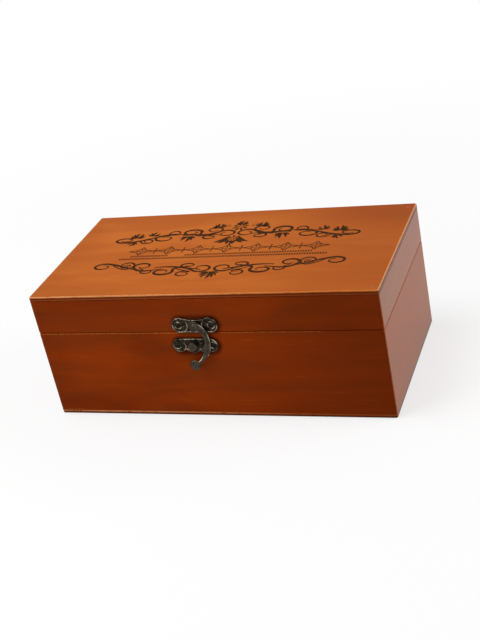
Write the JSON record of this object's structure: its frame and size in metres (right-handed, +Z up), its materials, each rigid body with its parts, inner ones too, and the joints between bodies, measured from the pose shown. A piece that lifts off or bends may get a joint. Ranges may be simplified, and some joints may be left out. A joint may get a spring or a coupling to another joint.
{
  "type": "wooden memory box",
  "caption": "Rectangular hinged wooden keepsake box: flush mitred base and lid boards, nailed top and bottom panels, and a swing-arm latch on the front.",
  "frame": {"origin": "middle of the underside, on the surface that the box stands on", "axes": "+X to the right along the front, +Y from the latch side to the hinge side, +Z up"},
  "size_m": [0.215, 0.1192, 0.083],
  "materials": {
    "stained_wood": "red-brown stain under a satin varnish, worn pale at the edges",
    "antique_bronze": "dark antique bronze plating, rubbed lighter on the high spots",
    "brad_steel": "dull steel under the stain"
  },
  "bodies": {
    "base": {"base_front_board": "stained_wood", "base_back_board": "stained_wood", "base_left_board": "stained_wood", "base_right_board": "stained_wood", "bottom_panel": "stained_wood", "bottom_panel_brads": "brad_steel", "catch_plate": "antique_bronze", "catch_plate_screws": "antique_bronze", "catch_post": "antique_bronze", "left_hinge_base_leaf": "antique_bronze", "right_hinge_base_leaf": "antique_bronze", "left_hinge_pin": "antique_bronze", "right_hinge_pin": "antique_bronze", "base_hinge_screws": "antique_bronze"},
    "lid": {"lid_front_board": "stained_wood", "lid_back_board": "stained_wood", "lid_left_board": "stained_wood", "lid_right_board": "stained_wood", "lid_top_panel": "stained_wood", "lid_top_brads": "brad_steel", "latch_plate": "antique_bronze", "latch_plate_screws": "antique_bronze", "latch_rivet": "antique_bronze", "left_hinge_lid_leaf": "antique_bronze", "right_hinge_lid_leaf": "antique_bronze", "lid_hinge_screws": "antique_bronze"},
    "latch_arm": {"latch_arm": "antique_bronze"}
  },
  "joints": [
    {"name": "lid_hinge", "type": "hinge", "parent": "base", "child": "lid", "pos_m": [0, 0.0572, 0.058], "axis": [-1, 0, 0], "range_deg": [0, 180]},
    {"name": "latch_swing", "type": "hinge", "parent": "lid", "child": "latch_arm", "pos_m": [-0.0035, -0.0555, 0.0628], "axis": [0, -1, 0], "range_deg": [-16, 100]}
  ]
}
